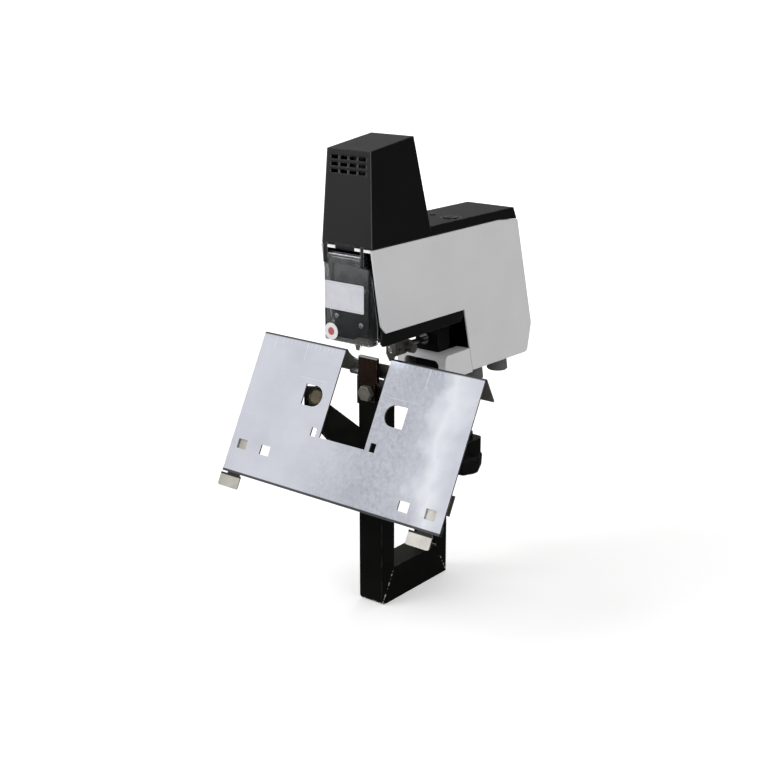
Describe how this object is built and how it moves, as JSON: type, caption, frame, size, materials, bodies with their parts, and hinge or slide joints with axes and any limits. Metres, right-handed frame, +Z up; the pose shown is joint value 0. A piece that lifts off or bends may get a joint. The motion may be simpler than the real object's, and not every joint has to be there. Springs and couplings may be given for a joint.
{
  "type": "electric stapler",
  "caption": "Electric stapler that clamps to a desk edge: steel U frame, saddle table that tilts flat, hinged stapling head in a grey casing with a black solenoid tower, clear finger guard.",
  "frame": {"origin": "in the plane of the desk top, under the four feet, on the axis of the desk clamp's screw", "axes": "+X to the right along the table's ridge, +Y from the stapling head back to the rear panel, +Z up"},
  "size_m": [0.2548, 0.29, 0.4318],
  "materials": {
    "black_paint": "semi-gloss black enamel",
    "cover_paint": "light grey satin paint",
    "black_plastic": "fine moulded texture",
    "plated_steel": "bright plated sheet",
    "dark_steel": "blued steel",
    "bright_steel": "turned or drawn",
    "nickel": "dull nickel plate",
    "rubber": "moulded",
    "clear_plastic": "clear",
    "coil": "lacquered winding",
    "board": "circuit board"
  },
  "bodies": {
    "frame": {"front_column": "black_paint", "bottom_bar": "black_paint", "rear_column": "black_paint", "clamp_arm": "black_paint", "anvil": "dark_steel", "anvil_bolt": "bright_steel", "table_hinge": "black_paint", "support_arm": "black_paint", "arm_dome_nut": "dark_steel", "chassis_left": "black_paint", "chassis_right": "black_paint", "column_bolt_upper": "bright_steel", "column_bolt_lower": "bright_steel", "spring_hanger": "bright_steel", "top_plate": "dark_steel", "pivot_pin": "bright_steel", "return_spring": "bright_steel", "solenoid_yoke": "dark_steel", "solenoid_coil": "coil", "control_board": "board", "side_cover_left": "cover_paint", "side_cover_right": "cover_paint", "top_cover": "black_plastic", "front_strip": "cover_paint", "lower_front_cover": "cover_paint", "base_plate": "black_paint", "foot_front_left": "rubber", "foot_rear_left": "rubber", "foot_front_right": "rubber", "foot_rear_right": "rubber", "rear_panel": "cover_paint", "mains_inlet": "black_plastic", "guard_pin": "bright_steel", "gauge_rod": "bright_steel"},
    "table": {"table_plate": "plated_steel", "stop_rail": "black_paint"},
    "left_stop_body": {"left_stop": "nickel"},
    "right_stop_body": {"right_stop": "nickel"},
    "guard_body": {"guard": "clear_plastic"},
    "head": {"head_arm_left": "dark_steel", "head_arm_right": "dark_steel", "head_bridge": "dark_steel", "head_block": "black_paint", "head_front_plate": "black_plastic", "nose_piece": "dark_steel", "magazine": "bright_steel", "staple_strip": "bright_steel"},
    "driver": {"crosshead": "dark_steel", "crosshead_pin": "bright_steel", "driver_blade": "bright_steel"},
    "pusher_body": {"pusher": "black_plastic"},
    "plunger_body": {"plunger": "bright_steel"},
    "gauge": {"back_gauge": "nickel", "gauge_block": "bright_steel"},
    "gauge_screw_body": {"gauge_screw": "bright_steel"},
    "clamp_pad_body": {"clamp_pad": "bright_steel"},
    "clamp_screw_body": {"clamp_screw": "bright_steel", "clamp_knob": "black_plastic"},
    "rocker_body": {"rocker": "black_plastic"},
    "dial": {"force_dial": "black_plastic"}
  },
  "joints": [
    {"name": "head_swing", "type": "hinge", "parent": "frame", "child": "head", "pos_m": [0, 0.003, 0.068], "axis": [1, 0, 0], "range_deg": [0, 4.66], "stiffness_Nm_per_rad": 4.5, "springref_deg": -20.05, "deforming": ["return_spring"]},
    {"name": "driver_stroke", "type": "slide", "parent": "head", "child": "driver", "axis": [0, 0, -1], "range_m": [0, 0.0114]},
    {"name": "plunger_stroke", "type": "slide", "parent": "frame", "child": "plunger_body", "axis": [0, 0, -1], "range_m": [0, 0.02435]},
    {"name": "pusher_slide", "type": "slide", "parent": "head", "child": "pusher_body", "axis": [0, 1, 0], "range_m": [0, 0.04], "stiffness_N_per_m": 20, "springref_m": -0.05},
    {"name": "guard_swing", "type": "hinge", "parent": "frame", "child": "guard_body", "pos_m": [0, -0.1753, 0.1435], "axis": [-1, 0, 0], "range_deg": [0, 95]},
    {"name": "table_tilt", "type": "hinge", "parent": "frame", "child": "table", "pos_m": [0, -0.1405, 0.0305], "axis": [1, 0, 0], "range_deg": [-62.3, 0]},
    {"name": "left_stop_slide", "type": "slide", "parent": "table", "child": "left_stop_body", "axis": [1, 0, 0], "range_m": [0, 0.05]},
    {"name": "right_stop_slide", "type": "slide", "parent": "table", "child": "right_stop_body", "axis": [-1, 0, 0], "range_m": [0, 0.05]},
    {"name": "gauge_slide", "type": "slide", "parent": "frame", "child": "gauge", "axis": [0, 1, 0], "range_m": [0, 0.022]},
    {"name": "gauge_screw_turn", "type": "hinge", "parent": "gauge", "child": "gauge_screw_body", "pos_m": [0.0055, -0.09833, 0.048], "axis": [1, 0, 0], "range_deg": [0, 360]},
    {"name": "clamp_pad_slide", "type": "slide", "parent": "frame", "child": "clamp_pad_body", "axis": [0, 0, -1], "range_m": [0, 0.038]},
    {"name": "clamp_knob_turn", "type": "hinge", "parent": "clamp_pad_body", "child": "clamp_screw_body", "pos_m": [0, 0, -0.0839], "axis": [0, 0, -1], "range_deg": [0, 7818]},
    {"name": "rocker_tilt", "type": "hinge", "parent": "frame", "child": "rocker_body", "pos_m": [0, 0.05434, 0.10056], "axis": [1, 0, 0], "range_deg": [0, 14.7]},
    {"name": "dial_turn", "type": "hinge", "parent": "frame", "child": "dial", "pos_m": [0.014, -0.046, 0.1605], "axis": [0, 0, 1], "range_deg": [0, 270]}
  ],
  "couplings": [
    {"joint": "driver_stroke", "follows": "head_swing", "m_per_rad": 0.14},
    {"joint": "plunger_stroke", "follows": "head_swing", "m_per_rad": 0.299},
    {"joint": "clamp_knob_turn", "follows": "clamp_pad_slide", "rad_per_m": 3590.4}
  ]
}
